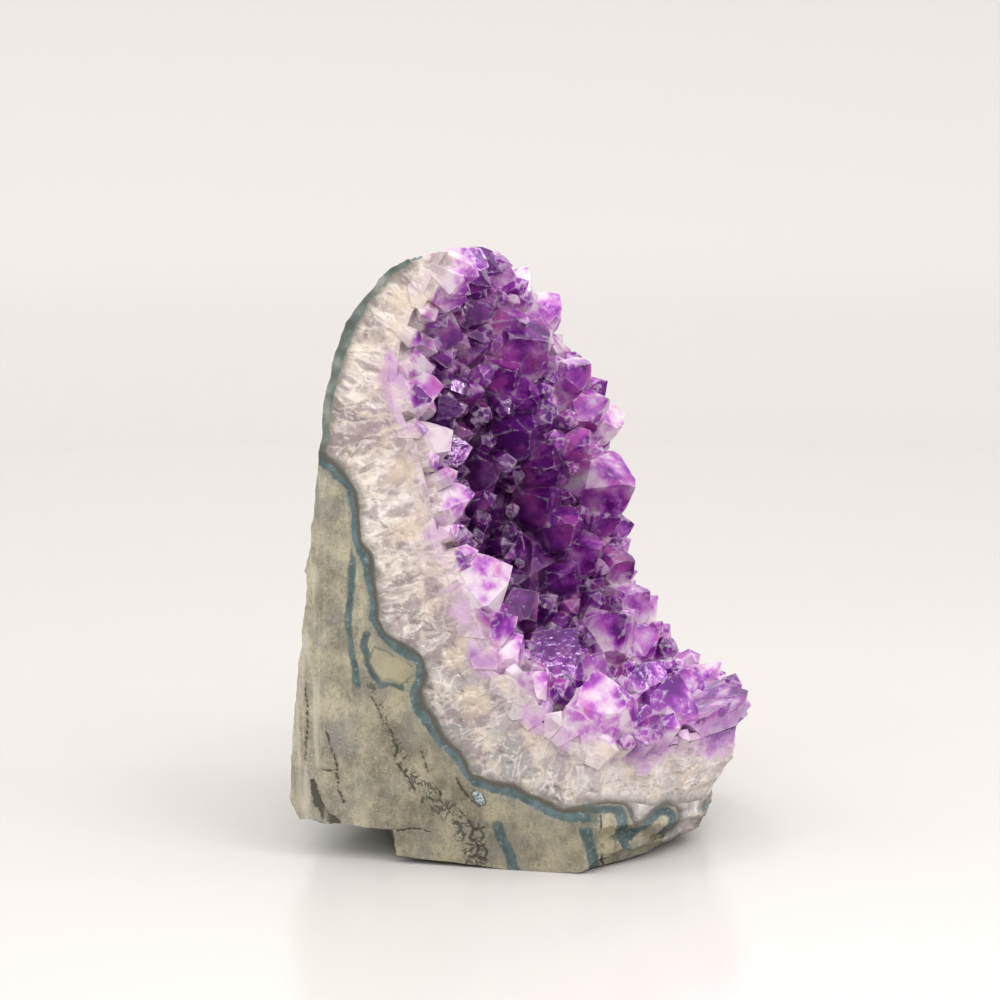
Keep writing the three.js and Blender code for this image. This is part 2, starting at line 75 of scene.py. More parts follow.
def stone_matrix():
    """From the frame of the part, in metres, to the frame of the near face, in millimetres."""
    turned = Matrix.Rotation(-FRONT_TURN, 4, "Z") @ Matrix.Scale(1 / PER_MM, 4)
    corners = [turned @ v.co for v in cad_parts["basalt_matrix"].data.vertices]
    near = min(p.y for p in corners)
    left = min(p.x for p in corners if p.y < near + ON_FACE)
    return Matrix.Translation((NEAR_LEFT - left, -near, 0)) @ turned


TO_STONE = stone_matrix()
TO_PART = TO_STONE.inverted()


# Meshes

def cad_copy(node):
    """The CAD node's own shape as a bmesh in the stone's frame."""
    bm = bmesh.new()
    bm.from_mesh(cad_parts[node].data)
    bm.transform(TO_STONE)
    bmesh.ops.remove_doubles(bm, verts=bm.verts, dist=SAME_VERTEX)
    return bm


def is_sawn(part):
    """Whether an edge or a face lies on a sawn face."""
    return all(v.co.y < SAWN or v.co.y > DEPTH - SAWN for v in part.verts)


def halve(bm, edges):
    bmesh.ops.subdivide_edges(bm, edges=edges, cuts=1)
    bmesh.ops.triangulate(bm, faces=[f for f in bm.faces if len(f.verts) > 3])


def refine(bm, fine, coarse):
    """Splits long edges until none is over fine on the sawn faces, or over coarse elsewhere."""
    for _ in range(12):
        long_edges = [e for e in bm.edges if e.calc_length() > (fine if is_sawn(e) else coarse)]
        if not long_edges:
            break
        halve(bm, long_edges)
    for face in bm.faces:
        face.tag = is_sawn(face)
    flat = [f for f in bm.faces if f.tag]
    inner = [e for e in bm.edges if len(e.link_faces) == 2 and all(f.tag for f in e.link_faces)]
    bmesh.ops.beautify_fill(bm, faces=flat, edges=inner)


def smoothstep(low, high, value):
    """0 at low and beyond it, 1 at high and beyond it."""
    share = np.clip((value - low) / (high - low), 0, 1)
    return share * share * (3 - 2 * share)


def ease(low, high, value):
    """The same for one number."""
    share = min(max((value - low) / (high - low), 0.0), 1.0)
    return share * share * (3 - 2 * share)


def keep_in_box(bm):
    """Holds a mesh in the part's frame inside the CAD box."""
    low, high = cad_box
    for v in bm.verts:
        v.co = Vector(min(max(v.co[k], low[k]), high[k]) for k in range(3))


def layered_noise(point, size, octaves=3):
    """Noise about 0 with lumps of that size in millimetres."""
    total, weight = 0.0, 1.0
    for n in range(octaves):
        total += weight * noise.noise(point * (2**n / size))
        weight *= 0.5
    return total


def add_object(name, data):
    made = bpy.data.objects.new(name, data)
    bpy.context.scene.collection.objects.link(made)
    return made


def finish_mesh(bm, name, node):
    """A piece from the worked mesh, kept inside the CAD box, that stands for the node."""
    bm.transform(TO_PART)
    keep_in_box(bm)
    bmesh.ops.recalc_face_normals(bm, faces=bm.faces)
    mesh = bpy.data.meshes.new(name)
    bm.to_mesh(mesh)
    bm.free()
    piece = add_object(name, mesh)
    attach(piece, "root")
    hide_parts(node)
    return piece


def put(piece, name, values, kind="FLOAT"):
    """Stores one value or vector a vertex for the piece's material."""
    attribute = piece.data.attributes.new(name, kind, "POINT")
    key = "value" if kind == "FLOAT" else "vector"
    attribute.data.foreach_set(key, np.asarray(values, dtype=np.float32).ravel())


CAD_TREES = {}
for node_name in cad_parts:
    shape = cad_copy(node_name)
    bmesh.ops.triangulate(shape, faces=shape.faces)
    CAD_TREES[node_name] = BVHTree.FromBMesh(shape)
    shape.free()


def nearest_on(node, point):
    return CAD_TREES[node].find_nearest(point)[0]


def distance_to(node, point):
    return CAD_TREES[node].find_nearest(point)[3]


# Markings on the near face's plane as seen from VIEWPOINT: each is a line and half its width
TEAL_VEINS = [
    ([(-33.4, 69.5), (-34.1, 66.5), (-34.5, 61), (-34.9, 55), (-34.9, 50.5), (-34.5, 45.5),
      (-33.5, 40.5), (-33.3, 38)], 0.5),
    ([(-30.8, 44.5), (-31, 43), (-30, 40.4), (-28.3, 38.5), (-26.4, 38.8), (-23.8, 38)], 0.55),
    ([(-31, 44.3), (-31.6, 47), (-31, 49)], 0.6),
    ([(-3, 9.5), (-2.2, 6.4), (-0.6, 3.6), (0.8, 0)], 0.9),
    ([(14.9, 12), (15.1, 10), (16.6, 6.8), (17.5, 3)], 1.0),
    ([(22.5, 12), (23.8, 9.5), (25, 6)], 0.9),
    ([(25.2, 7), (28.4, 10.4), (30.9, 12.2)], 0.8),
]
DARK_CRACKS_AND_PIT_SHADE = [
    ([(-40.4, 27.7), (-38.6, 23.3), (-38.2, 19.1), (-37.6, 15.7), (-36.5, 12.7)], 0.14),
    ([(-40.9, 19.7), (-38.9, 19.6)], 0.1),
    ([(-25.9, 28.8), (-25.3, 26.5), (-25.1, 23.1)], 0.28),
    ([(-25.6, 26), (-24.4, 24.8)], 0.1),
    ([(-24.6, 21.6), (-22.2, 18), (-20.9, 16.1)], 0.16),
    ([(-23.2, 19.4), (-22.6, 20.6)], 0.12),
    ([(-19.8, 25.2), (-19.4, 23.1), (-18.1, 20.4)], 0.1),
    ([(-17, 17.5), (-15.5, 15.8), (-15.8, 14.2)], 0.12),
    ([(-12, 19.2), (-10.5, 16.5), (-8.6, 14.4), (-6.9, 13.4)], 0.16),
    ([(-31.3, 38.1), (-30.2, 36), (-28.7, 32.1), (-25.9, 28.8)], 0.08),
    ([(-25.1, 7.2), (-21.6, 7.6), (-17.7, 7.4)], 0.1),
    ([(-44.9, 38.1), (-44.3, 33.4), (-44.6, 25.6), (-44.7, 17.7)], 0.12),
    # painted shade: this wide line darkens the pit under the rounded lower-left corner
    ([(-43.5, 16.5), (-42.6, 12.4), (-40.5, 9.8), (-38, 8.4)], 0.9),
    ([(12, 14), (13.4, 12.5), (14.8, 10.6)], 0.3),
    ([(18.4, 12.5), (18, 8), (18.6, 4.5)], 0.15),
    ([(-9.4, 10.4), (-8.2, 8.3), (-8.8, 6.4), (-7.2, 4.6), (-7.6, 2.6), (-6.2, 0.9)], 0.26),
    ([(-6.8, 10.6), (-7.4, 8.9), (-5.8, 7.2), (-6.6, 5.4), (-5.2, 3.6), (-5.6, 1.8)], 0.16),
    ([(-8.2, 8.3), (-5.9, 8.9)], 0.12),
    ([(-9.9, 5.2), (-7.2, 4.6), (-5.6, 5)], 0.14),
    ([(-9.6, 2.2), (-7.6, 2.6), (-5.4, 2)], 0.2),
    ([(-11.5, 12.4), (-9.4, 10.4)], 0.1),
]
BRECCIA = [
    ([(-30.5, 38), (-28.6, 34), (-26, 28)], 0.9),
    ([(-26, 28), (-23, 21), (-20, 17)], 1.3),
    ([(-20, 17), (-16, 13), (-12, 11)], 2.3),
    ([(-12, 11), (-9, 6.5), (-7.6, 1)], 2.8),
]
ISLANDS = [
    [(-29.3, 46.3), (-25.8, 44.9), (-23.4, 44.2), (-20.8, 41.7), (-23.9, 38.4), (-28.4, 38.8),
     (-30.8, 43.2)],
    [(17, 12), (22, 12), (23.1, 8.2), (21.9, 4.5), (18.5, 4.3), (18.7, 7.7), (17.4, 10.2)],
]
POCKET = [([(-7.5, 16), (-6.8, 14.6)], 1.0)]
MARKS = {"crack_and_pit_shade": DARK_CRACKS_AND_PIT_SHADE, "vein": TEAL_VEINS, "breccia": BRECCIA, "pocket": POCKET}
MARK_DEPTHS = (30, 40)  # where the markings end
MARK_END = 50  # added to a marking's distance there
CRACK_DEPTH = 0.2

# On the lip the band hooks round two fragments of rock, and quartz reaches the foot beyond it
LIP_BAND = [
    (16.6, 15.7), (21.8, 15.8), (24.1, 15.5), (25.4, 13.2), (25.8, 10.9), (28.1, 12.6), (30.8, 15.2),
    (32.5, 16), (34.6, 15.8), (35.8, 14.6), (35.4, 12.7), (34.4, 10.7), (33, 9.4),
]
LIP_ROCK = LIP_BAND + [(30.5, 3.5), (26, -2), (16.6, -2)]
LIP_TEAL = [
    ([(17, 14.3), (22.7, 14.2)], 0.85),
    ([(23, 13.6), (23.8, 9.5), (25, 6)], 0.9),
    ([(25.4, 8.3), (28.4, 11.4), (30.9, 13.9), (32.7, 14.6), (34.3, 13.8), (33.9, 11.5), (32.6, 9.6)], 0.8),
    ([(15.4, 14.4), (15.6, 10.3), (16.8, 6.8), (17.6, 3), (18, -1)], 1.05),
]
LIP_CRACKS = [([(18.7, 12.9), (18.9, 8), (20, 5), (19.4, 2)], 0.28)]
LIP_LEFT = 15.3
LIP_RIGHT = 39.0
LIP_TOP = 19.0
LIP_DEPTHS = (62, 48)  # where the pattern fades out


def seen_on_near_plane(point):
    """Where a point of the stone shows on the near face's plane from VIEWPOINT, as (x, z)."""
    share = -VIEWPOINT.y / (point.y - VIEWPOINT.y)
    spot = VIEWPOINT.lerp(point, share)
    return spot.x, spot.z


def line_distance(spots, lines):
    """For each (x, z) spot, its distance from the nearest line less half the line's width."""
    best = np.full(len(spots), FAR)
    for points, half_width in lines:
        for start, end in zip(points, points[1:]):
            start, end = np.array(start), np.array(end)
            along = end - start
            share = np.clip((spots - start) @ along / (along @ along), 0, 1)
            gap = np.linalg.norm(spots - start - share[:, None] * along, axis=1)
            best = np.minimum(best, gap - half_width)
    return best


def inside_outline(spots, outline):
    """Whether each (x, z) spot lies inside a closed outline."""
    inside = np.zeros(len(spots), dtype=bool)
    x, z = spots[:, 0], spots[:, 1]
    for (x1, z1), (x2, z2) in zip(outline, outline[1:] + outline[:1]):
        if z1 == z2:
            continue
        crosses = ((z1 > z) != (z2 > z)) & (x < x1 + (z - z1) * (x2 - x1) / (z2 - z1))
        inside ^= crosses
    return inside


def put_lip(piece, at_rest):
    """The lip's own pattern, which is the same on every layer that shows there."""
    spots = np.array([seen_on_near_plane(p) for p in at_rest])
    depths = np.array([p.y for p in at_rest])
    band = line_distance(spots, [(LIP_BAND, 0)])
    rock = np.where(inside_outline(spots, LIP_ROCK), -band, band)
    across = smoothstep(LIP_LEFT, LIP_LEFT + 0.5, spots[:, 0])
    across *= smoothstep(LIP_RIGHT + 1.5, LIP_RIGHT, spots[:, 0])
    low = smoothstep(LIP_TOP + 1.5, LIP_TOP, spots[:, 1])
    put(piece, "lip", smoothstep(-0.2, 0.3, depths) * across * low * smoothstep(*LIP_DEPTHS, depths))
    put(piece, "lip_rock", rock)
    put(piece, "lip_teal", line_distance(spots, LIP_TEAL))
    put(piece, "lip_crack", line_distance(spots, LIP_CRACKS))


# The three layers of rock

NEIGHBOURS = {
    "basalt_matrix": ["agate_lining"],
    "agate_lining": ["basalt_matrix", "quartz_layer"],
    "quartz_layer": ["agate_lining"],
}
WARP_SIZES = [(4.5, 0.55), (1.6, 0.22)]  # wave in millimetres, and how far it moves the layers' edges
MEET = 0.52  # layers that touch each go this share of the gap, and so just overlap
CRYSTAL_MEET = 1.25  # the quartz alone goes to the crystals


def close_gaps(bm, node):
    """Draws touching layers together."""
    for v in bm.verts:
        for neighbour in NEIGHBOURS[node]:
            nearest, _, _, distance = CAD_TREES[neighbour].find_nearest(v.co)
            if distance < GAP_REACH:
                v.co = v.co.lerp(nearest, MEET)
        if node == "quartz_layer":
            nearest, _, _, distance = CAD_TREES["amethyst_crystals"].find_nearest(v.co)
            if distance < GAP_REACH:
                v.co = v.co.lerp(nearest, CRYSTAL_MEET)


def warp(point):
    """A natural waver, the same for every layer, that keeps the sawn faces and the foot flat."""
    hold = ease(0.6, 4, distance_to("amethyst_crystals", point))
    lift = ease(0.2, 3, point.z)
    moved = point.copy()
    for size, reach in WARP_SIZES:
        drift = noise.noise_vector(point / size) * reach
        moved.x += drift.x * hold
        moved.z += drift.z * hold * lift
    return moved


def on_natural_surface(v, node):
    """How fully a vertex belongs to the rough outside, 0 to 1."""
    clear = min(distance_to(n, v.co) for n in NEIGHBOURS[node])
    edge = min(v.co.y, DEPTH - v.co.y, v.co.z)
    return ease(0.5, 2.2, clear) * ease(0.1, 2.0, edge)


def rough(point, size, depth):
    """How far the natural outside is worn back at a point."""
    lumps = 0.5 + 0.5 * layered_noise(point, size, 4)
    pits = max(0.0, layered_noise(point + Vector((40, 0, 0)), size * 0.35, 2) - 0.25)
    return -depth * (lumps + 0.9 * pits)


def rock_layer(node, fine, coarse, size, depth):
    """The layer's mesh with its natural outside, and its vertices as they were in the CAD."""
    bm = cad_copy(node)
    refine(bm, fine, coarse)
    bm.normal_update()
    bm.verts.ensure_lookup_table()
    moves = [v.normal * rough(v.co, size, depth) * on_natural_surface(v, node) for v in bm.verts]
    close_gaps(bm, node)
    at_rest = [v.co.copy() for v in bm.verts]
    for v, move in zip(bm.verts, moves):
        v.co = warp(v.co) + move
    bm.normal_update()
    return bm, at_rest


def make_basalt():
    bm, at_rest = rock_layer("basalt_matrix", 0.8, 1.7, 7.0, 2.1)
    spots = np.array([seen_on_near_plane(p) for p in at_rest])
    depths = np.array([p.y for p in at_rest])
    far_off = MARK_END * smoothstep(*MARK_DEPTHS, depths)
    for v, gap in zip(bm.verts, line_distance(spots, DARK_CRACKS_AND_PIT_SHADE) + far_off):
        v.co -= v.normal * CRACK_DEPTH * (1 - ease(-0.15, 0.15, gap))
    piece = finish_mesh(bm, "host_rock", "basalt_matrix")
    for name, lines in MARKS.items():
        put(piece, name, line_distance(spots, lines) + far_off)
    island = np.full(len(spots), FAR)
    for outline in ISLANDS:
        gap = line_distance(spots, [(outline + outline[:1], 0)])
        island = np.minimum(island, np.where(inside_outline(spots, outline), -gap, gap))
    put(piece, "island", island + far_off)
    put(piece, "band_gap", [distance_to("agate_lining", p) for p in at_rest])
    put(piece, "left", spots[:, 0])
    put_lip(piece, at_rest)
    return piece


def make_lining():
    bm, at_rest = rock_layer("agate_lining", 0.7, 1.7, 4.0, 0.6)
    piece = finish_mesh(bm, "teal_band", "agate_lining")
    rock = np.array([distance_to("basalt_matrix", p) for p in at_rest])
    crystal = np.array([distance_to("quartz_layer", p) for p in at_rest])
    put(piece, "across", rock / (rock + crystal + 1e-6))
    put(piece, "skin", smoothstep(3.0, 7.0, rock))
    put_lip(piece, at_rest)
    return piece


# Columns of the quartz, which run from the band to the crystals' roots

COLUMN_WIDTH = 7.2
COLUMN_LENGTH = 15.0
STREAK_DRAW = 2.4  # streaks are drawn out this much along the columns
LUMP = 2.6
BLEND = 0.4
SHIFT = Vector((9, 4, 2))  # to an unrelated part of the same noise


def shade_of(centre, shift=0):
    """A random share for one cell of the noise."""
    return 0.5 + 0.5 * noise.cell(centre * 50 + SHIFT * shift)


def blended_shade(distances, centres, shift):
    """A random share for the nearest cells of the noise, blended where they meet."""
    weights = [max(0.0, 1 - (d - distances[0]) / BLEND) ** 2 for d in distances]
    return sum(w * shade_of(c, shift) for w, c in zip(weights, centres)) / sum(weights)


def column_at(point):
    """What the quartz is like at a point: how far across it lies, and its column."""
    band = nearest_on("agate_lining", point)
    rim = nearest_on("amethyst_crystals", point)
    from_band = (point - band).length
    to_rim = (point - rim).length
    middle = (band + rim) * 0.5
    along = (rim - band).normalized() * (from_band - to_rim) * 0.5
    spot = middle / COLUMN_WIDTH + along / COLUMN_LENGTH + noise.noise_vector(point / 2.8) * 0.2
    distances, centres = noise.voronoi(spot)
    share = from_band / (from_band + to_rim + 1e-6)
    lipward = ease(6, 24, point.x)
    start = 0.7 - 0.3 * lipward + 0.55 * blended_shade(distances, centres, 1)
    return {
        "lipward": lipward,
        "share": share,
        "rim_gap": to_rim,
        "band_gap": from_band,
        "edge": distances[1] - distances[0],
        "tone": shade_of(centres[0]),
        "violet": (share + 0.16 * noise.noise(point / 3.5) - start) / 0.3,
        "streak": middle + along / STREAK_DRAW,
    }


def put_columns(piece, columns):
    for name in columns[0]:
        put(piece, name, [c[name] for c in columns], "FLOAT_VECTOR" if name == "streak" else "FLOAT")


def column_depth(point, column):
    """How far the quartz is worn back there."""
    rise = ease(0.08, 0.5, column["share"])
    groove = 0.35 * ease(0.16, 0.0, column["edge"]) * rise
    low = 0.45 * column["tone"] * ease(0.0, 0.2, column["edge"]) * rise
    lumps = 0.5 + noise.noise(column["streak"] / LUMP)
    pit = ease(0.28, 0.6, noise.noise(point / 1.7 + SHIFT))
    return groove + low + 0.4 * lumps * (0.4 + 0.6 * rise) + 0.35 * pit


def make_quartz():
    bm, at_rest = rock_layer("quartz_layer", 0.7, 1.6, 3.0, 0.6)
    columns = [column_at(p) for p in at_rest]
    for v, point, column in zip(bm.verts, at_rest, columns):
        covered = ease(0.1, 2.6, column["rim_gap"]) * ease(0.1, 0.8, column["band_gap"])
        v.co -= v.normal * column_depth(point, column) * covered
    piece = finish_mesh(bm, "quartz_wall", "quartz_layer")
    put_columns(piece, columns)
    put(piece, "level", [p.z for p in at_rest])
    put_lip(piece, at_rest)
    return piece


# Crystals

TIP_SLOPE = math.tan(math.radians(51.8))  # a quartz tip's rise, per distance in from its sides
BURIED = 1.6  # of a small crystal's length
SMALL_TRIES = 1900
SMALL_LENGTH = (3.4, 6.6)
SMALL_WIDTH = (0.36, 0.52)  # radius, per length
SMALL_REACH = (1.4, 3.6)  # small crystals root this far above the quartz
SMALL_BATCHES = 9
RIM_SPACING = (2.4, 4.8)
RIM_RADIUS = (1.8, 4.3)
RIM_PROUD = (0.05, 0.35)  # a cut crystal of the rim stands this far out of the sawn face
RIM_FOOT = 0.45  # its width at the root, per width at the shoulder
RIM_BATCHES = 6
LIP_FACING = 0.3  # least turn to the right of the lip's edge
LIP_HIGH = 30.0
LIP_RADIUS = (1.8, 3.6)
LIP_SIZES = (1.0, 0.8, 0.6, 0.45)  # the largest that stays inside the CAD box is taken
BOX_MARGIN = 0.3
CELL = 4  # size of the cells that hold the small crystals
NEXT_CELLS = [(i, j, k) for i in (-1, 0, 1) for j in (-1, 0, 1) for k in (-1, 0, 1)]
CROWDING = 0.78  # least distance from one of them, per sum of their radii


def add_crystal(bm, root, axis, radius, length, turn, foot, rng):
    """Adds a six-sided crystal with a slightly askew tip to the mesh."""
    upright = axis.to_track_quat("Z", "Y").to_matrix()
    shoulder = max(length - radius / TIP_SLOPE, 0.15 * length)
    tip = Vector((rng.uniform(-0.2, 0.2) * radius, rng.uniform(-0.2, 0.2) * radius, length))
    wide = [radius * rng.uniform(0.85, 1.12) for _ in range(6)]
    lift = [rng.uniform(-0.22, 0.12) * radius for _ in range(6)]
    rings = []
    for height, skew, share in ((-BURIED, 0, foot), (shoulder, 1, 1)):
        ring = []
        for k in range(6):
            a = turn + k * math.pi / 3
            reach = share * wide[k]
            corner = Vector((reach * math.cos(a), reach * math.sin(a), height + skew * lift[k]))
            ring.append(bm.verts.new(root + upright @ corner))
        rings.append(ring)
    apex = bm.verts.new(root + upright @ tip)
    for k in range(6):
        n = (k + 1) % 6
        bm.faces.new((rings[0][k], rings[0][n], rings[1][n]))
        bm.faces.new((rings[0][k], rings[1][n], rings[1][k]))
        bm.faces.new((rings[1][k], rings[1][n], apex))
    bm.faces.new(rings[0][::-1])


def has_room(root, axis, radius, length):
    """Whether a crystal stays inside the CAD box."""
    low, high = cad_box
    for reach, spare in ((length, 0), (length - radius / TIP_SLOPE, 1.15 * radius)):
        place = TO_PART @ (root + axis * reach)
        margin = (BOX_MARGIN + spare) * PER_MM
        if not all(low[k] + margin < place[k] < high[k] - margin for k in range(3)):
            return False
    return True


def place_small(bm, rng):
    """Small crystals, low between the large ones."""
    faces = [f for f in bm.faces if f.calc_area() > 0.01]
    areas = np.cumsum([f.calc_area() for f in faces])
    placed = []
    cells = {}
    for _ in range(SMALL_TRIES):
        face = faces[int(np.searchsorted(areas, rng.random() * areas[-1]))]
        corners = [v.co for v in face.verts]
        a, b = sorted((rng.random(), rng.random()))
        point = corners[0] * a + corners[1] * (b - a) + corners[2] * (1 - b)
        length = rng.uniform(*SMALL_LENGTH)
        radius = length * rng.uniform(*SMALL_WIDTH)
        lean = Vector((rng.uniform(-1, 1), rng.uniform(-1, 1), rng.uniform(-1, 1))) * 0.35
        turn = rng.uniform(0, math.pi / 3)
        nearest, _, _, height = CAD_TREES["quartz_layer"].find_nearest(point)
        outward = (point - nearest).normalized()
        if not SMALL_REACH[0] < height < SMALL_REACH[1] or outward.dot(face.normal) < -0.2:
            continue
        axis = (outward * 0.8 + face.normal * 0.5 + lean).normalized()
        if not radius < point.y < DEPTH - radius or not has_room(point, axis, radius, length):
            continue
        cell = tuple(int(c // CELL) for c in point)
        near = [o for move in NEXT_CELLS for o in cells.get(tuple(map(sum, zip(cell, move))), [])]
        if any((point - other[0]).length < CROWDING * (radius + other[2]) for other in near):
            continue
        crystal = (point, axis, radius, length, turn, 1)
        placed.append(crystal)
        cells.setdefault(cell, []).append(crystal)
    return placed


def walk(line, rng):
    """Points a random step apart along a line, each with the line's direction there."""
    wait = 1.0
    for start, end in zip(line, line[1:]):
        along = end - start
        covered = 0.0
        while along.length - covered > wait:
            covered += wait
            wait = rng.uniform(*RIM_SPACING)
            yield start + along.normalized() * covered, along.normalized()


def place_rim(bm, rng, depth, outward):
    """Crystals along the rim of the hollow at one sawn face, which has cut them."""
    rim = [
        v.co.copy() for v in bm.verts
        if abs(v.co.y - depth) < ON_FACE and distance_to("quartz_layer", v.co) < GAP_REACH
    ]
    rim.sort(key=lambda p: -p.z)
    placed = []
    for point, along in walk(rim, rng):
        across = (point - nearest_on("agate_lining", point)).normalized()
        radius = rng.uniform(*RIM_RADIUS)
        length = radius * rng.uniform(1.7, 2.5)
        root = point + across * rng.uniform(-0.6, 1.2)
        root.y = depth - outward * rng.uniform(0.0, 0.8) * radius
        axis = across + along * rng.uniform(-0.5, 0.5) + Vector((0, outward * rng.uniform(-0.3, 0.3), 0))
        axis.normalize()
        turn = rng.uniform(0, math.pi / 3)
        level = depth + outward * rng.uniform(*RIM_PROUD)
        if has_room(root, axis, radius, length):
            placed.append((root, axis, radius, length, turn, RIM_FOOT, level, outward))
    return placed


def place_lip(bm, rng):
    """Crystals along the outer edge of the lip, whose feet stand on the quartz."""
    edge = [
        v.co.copy() for v in bm.verts
        if v.normal.x > LIP_FACING and v.co.z < LIP_HIGH and distance_to("quartz_layer", v.co) < GAP_REACH
    ]
    edge.sort(key=lambda p: p.y)
    placed = []
    for point, along in walk(edge, rng):
        across = (point - nearest_on("agate_lining", point)).normalized()
        outward = along.cross(Vector((0, 0, 1)))
        radius = rng.uniform(*LIP_RADIUS)
        length = radius * rng.uniform(1.8, 2.6)
        start = point + across * rng.uniform(-0.8, 0.8)
        inset = rng.uniform(0.1, 0.6)
        lean = outward * rng.uniform(0.0, 0.45) + along * rng.uniform(-0.4, 0.4)
        turn = rng.uniform(0, math.pi / 3)
        for share in LIP_SIZES:
            root = start - outward * inset * radius * share
            axis = (across + lean * share).normalized()
            if radius < point.y < DEPTH - radius and has_room(root, axis, radius * share, length * share):
                placed.append((root, axis, radius * share, length * share, turn, RIM_FOOT))
                break
    return placed


def spread(placed, batches):
    """Sorts crystals into batches in which none touches another."""
    groups = [[] for _ in range(batches)]
    for crystal in placed:
        reach = crystal[2] + crystal[3]
        for group in groups:
            if all((crystal[0] - o[0]).length > reach + o[2] + o[3] for o in group):
                group.append(crystal)
                break
    return groups


def crystal_batch(group, rng):
    """One batch of crystals as a mesh, those of the rim cut off by their sawn face."""
    batch = bmesh.new()
    for crystal in group:
        one = bmesh.new()
        add_crystal(one, *crystal[:6], rng)
        if len(crystal) > 6:
            level, outward = crystal[6:]
            cut = bmesh.ops.bisect_plane(
                one, geom=one.verts[:] + one.edges[:] + one.faces[:], plane_co=(0, level, 0),
                plane_no=(0, outward, 0), clear_outer=True,
            )
            edges = [g for g in cut["geom_cut"] if isinstance(g, bmesh.types.BMEdge)]
            if edges:
                bmesh.ops.holes_fill(one, edges=edges)
        bmesh.ops.recalc_face_normals(one, faces=one.faces)
        mesh = bpy.data.meshes.new("one")
        one.to_mesh(mesh)
        one.free()
        batch.from_mesh(mesh)
        bpy.data.meshes.remove(mesh)
    batch.transform(TO_PART)
    mesh = bpy.data.meshes.new("batch")
    batch.to_mesh(mesh)
    batch.free()
    return mesh


def unite(piece, mesh):
    """Joins a mesh to the piece in one solid."""
    other = add_object(mesh.name, mesh)
    join = piece.modifiers.new("join", "BOOLEAN")
    join.operation = "UNION"
    join.solver = "MANIFOLD"
    join.object = other
    graph = bpy.context.evaluated_depsgraph_get()
    joined = bpy.data.meshes.new_from_object(piece.evaluated_get(graph))
    piece.modifiers.clear()
    piece.data = joined
    bpy.data.objects.remove(other)


def tips_of(bm, heights):
    """For each vertex, the vertex that a climb along the steepest edges ends at: its crystal's tip."""
    edges = np.array([[v.index for v in edge.verts] for edge in bm.edges])
    both = np.concatenate([edges, edges[:, ::-1]])
    best = np.arange(len(heights))
    order = np.argsort(heights[both[:, 1]])
    best[both[order, 0]] = both[order, 1]
    stay = heights[best] <= heights
    best[stay] = np.flatnonzero(stay)
    while True:
        further = best[best]
        if np.array_equal(further, best):
            return best
        best = further


CRYSTAL_STEP = 1.5  # longest edge of a crystal's faces once they are divided
CRYSTAL_MERGE = 0.01
SHARP = math.radians(14)
EDGE_STEP = 0.35


def edge_points(bm):
    """Points along the sharp edges, which stay where they are as the faces are divided."""
    points = []
    for edge in bm.edges:
        if edge.calc_face_angle(0) > SHARP:
            start, end = (v.co for v in edge.verts)
            count = max(1, round((end - start).length / EDGE_STEP))
            points += [start.lerp(end, k / count) for k in range(count + 1)]
    return points


def refine_crystals(piece):
    """Divides the crystals' faces. Returns each vertex's distance from a sharp edge and its crystal."""
    bm = bmesh.new()
    bm.from_mesh(piece.data)
    bm.transform(TO_STONE)
    bmesh.ops.remove_doubles(bm, verts=bm.verts, dist=CRYSTAL_MERGE)
    bmesh.ops.triangulate(bm, faces=bm.faces)
    bm.normal_update()
    bm.verts.index_update()
    tips = tips_of(bm, np.array([distance_to("quartz_layer", v.co) for v in bm.verts]))
    mark = bm.verts.layers.int.new("crystal")
    for v in bm.verts:
        v[mark] = int(tips[v.index])
    sharp = edge_points(bm)
    tree = KDTree(len(sharp))
    for number, point in enumerate(sharp):
        tree.insert(point, number)
    tree.balance()
    for _ in range(8):
        long_edges = [e for e in bm.edges if e.calc_length() > CRYSTAL_STEP]
        if not long_edges:
            break
        known = len(bm.verts)
        halve(bm, long_edges)
        bm.verts.ensure_lookup_table()
        for v in bm.verts[known:]:
            kin = [e.other_vert(v) for e in v.link_edges if e.other_vert(v).index < known]
            if kin:
                v[mark] = max(kin, key=lambda o: distance_to("quartz_layer", o.co))[mark]
        bm.verts.index_update()
    edge_gap = np.array([tree.find(v.co)[2] for v in bm.verts])
    crystal_of = np.array([v[mark] for v in bm.verts])
    bm.verts.layers.int.remove(mark)
    bm.transform(TO_PART)
    keep_in_box(bm)
    bm.to_mesh(piece.data)
    bm.free()
    return edge_gap, crystal_of


def inside_of(point):
    """How far a point lies in the middle of the hollow, 0 to 1, where the crystals are painted darker:
    partly their deeper purple, partly painted shade.
    """
    from_rims = min(point.y, 0.55 * (DEPTH - point.y))
    above_lip = 0.12 + 0.88 * ease(30, 58, point.z)
    below_top = 1 - 0.5 * ease(88, 110, point.z)
    return ease(4, 25, from_rims) * above_lip * below_top


def paleness(point):
    """How pale the crystals are at a point: most so along the near rim and on the lip, 0 to 1."""
    return max(ease(17, 4, point.y), ease(26, 36, point.x) * ease(45, 32, point.z))


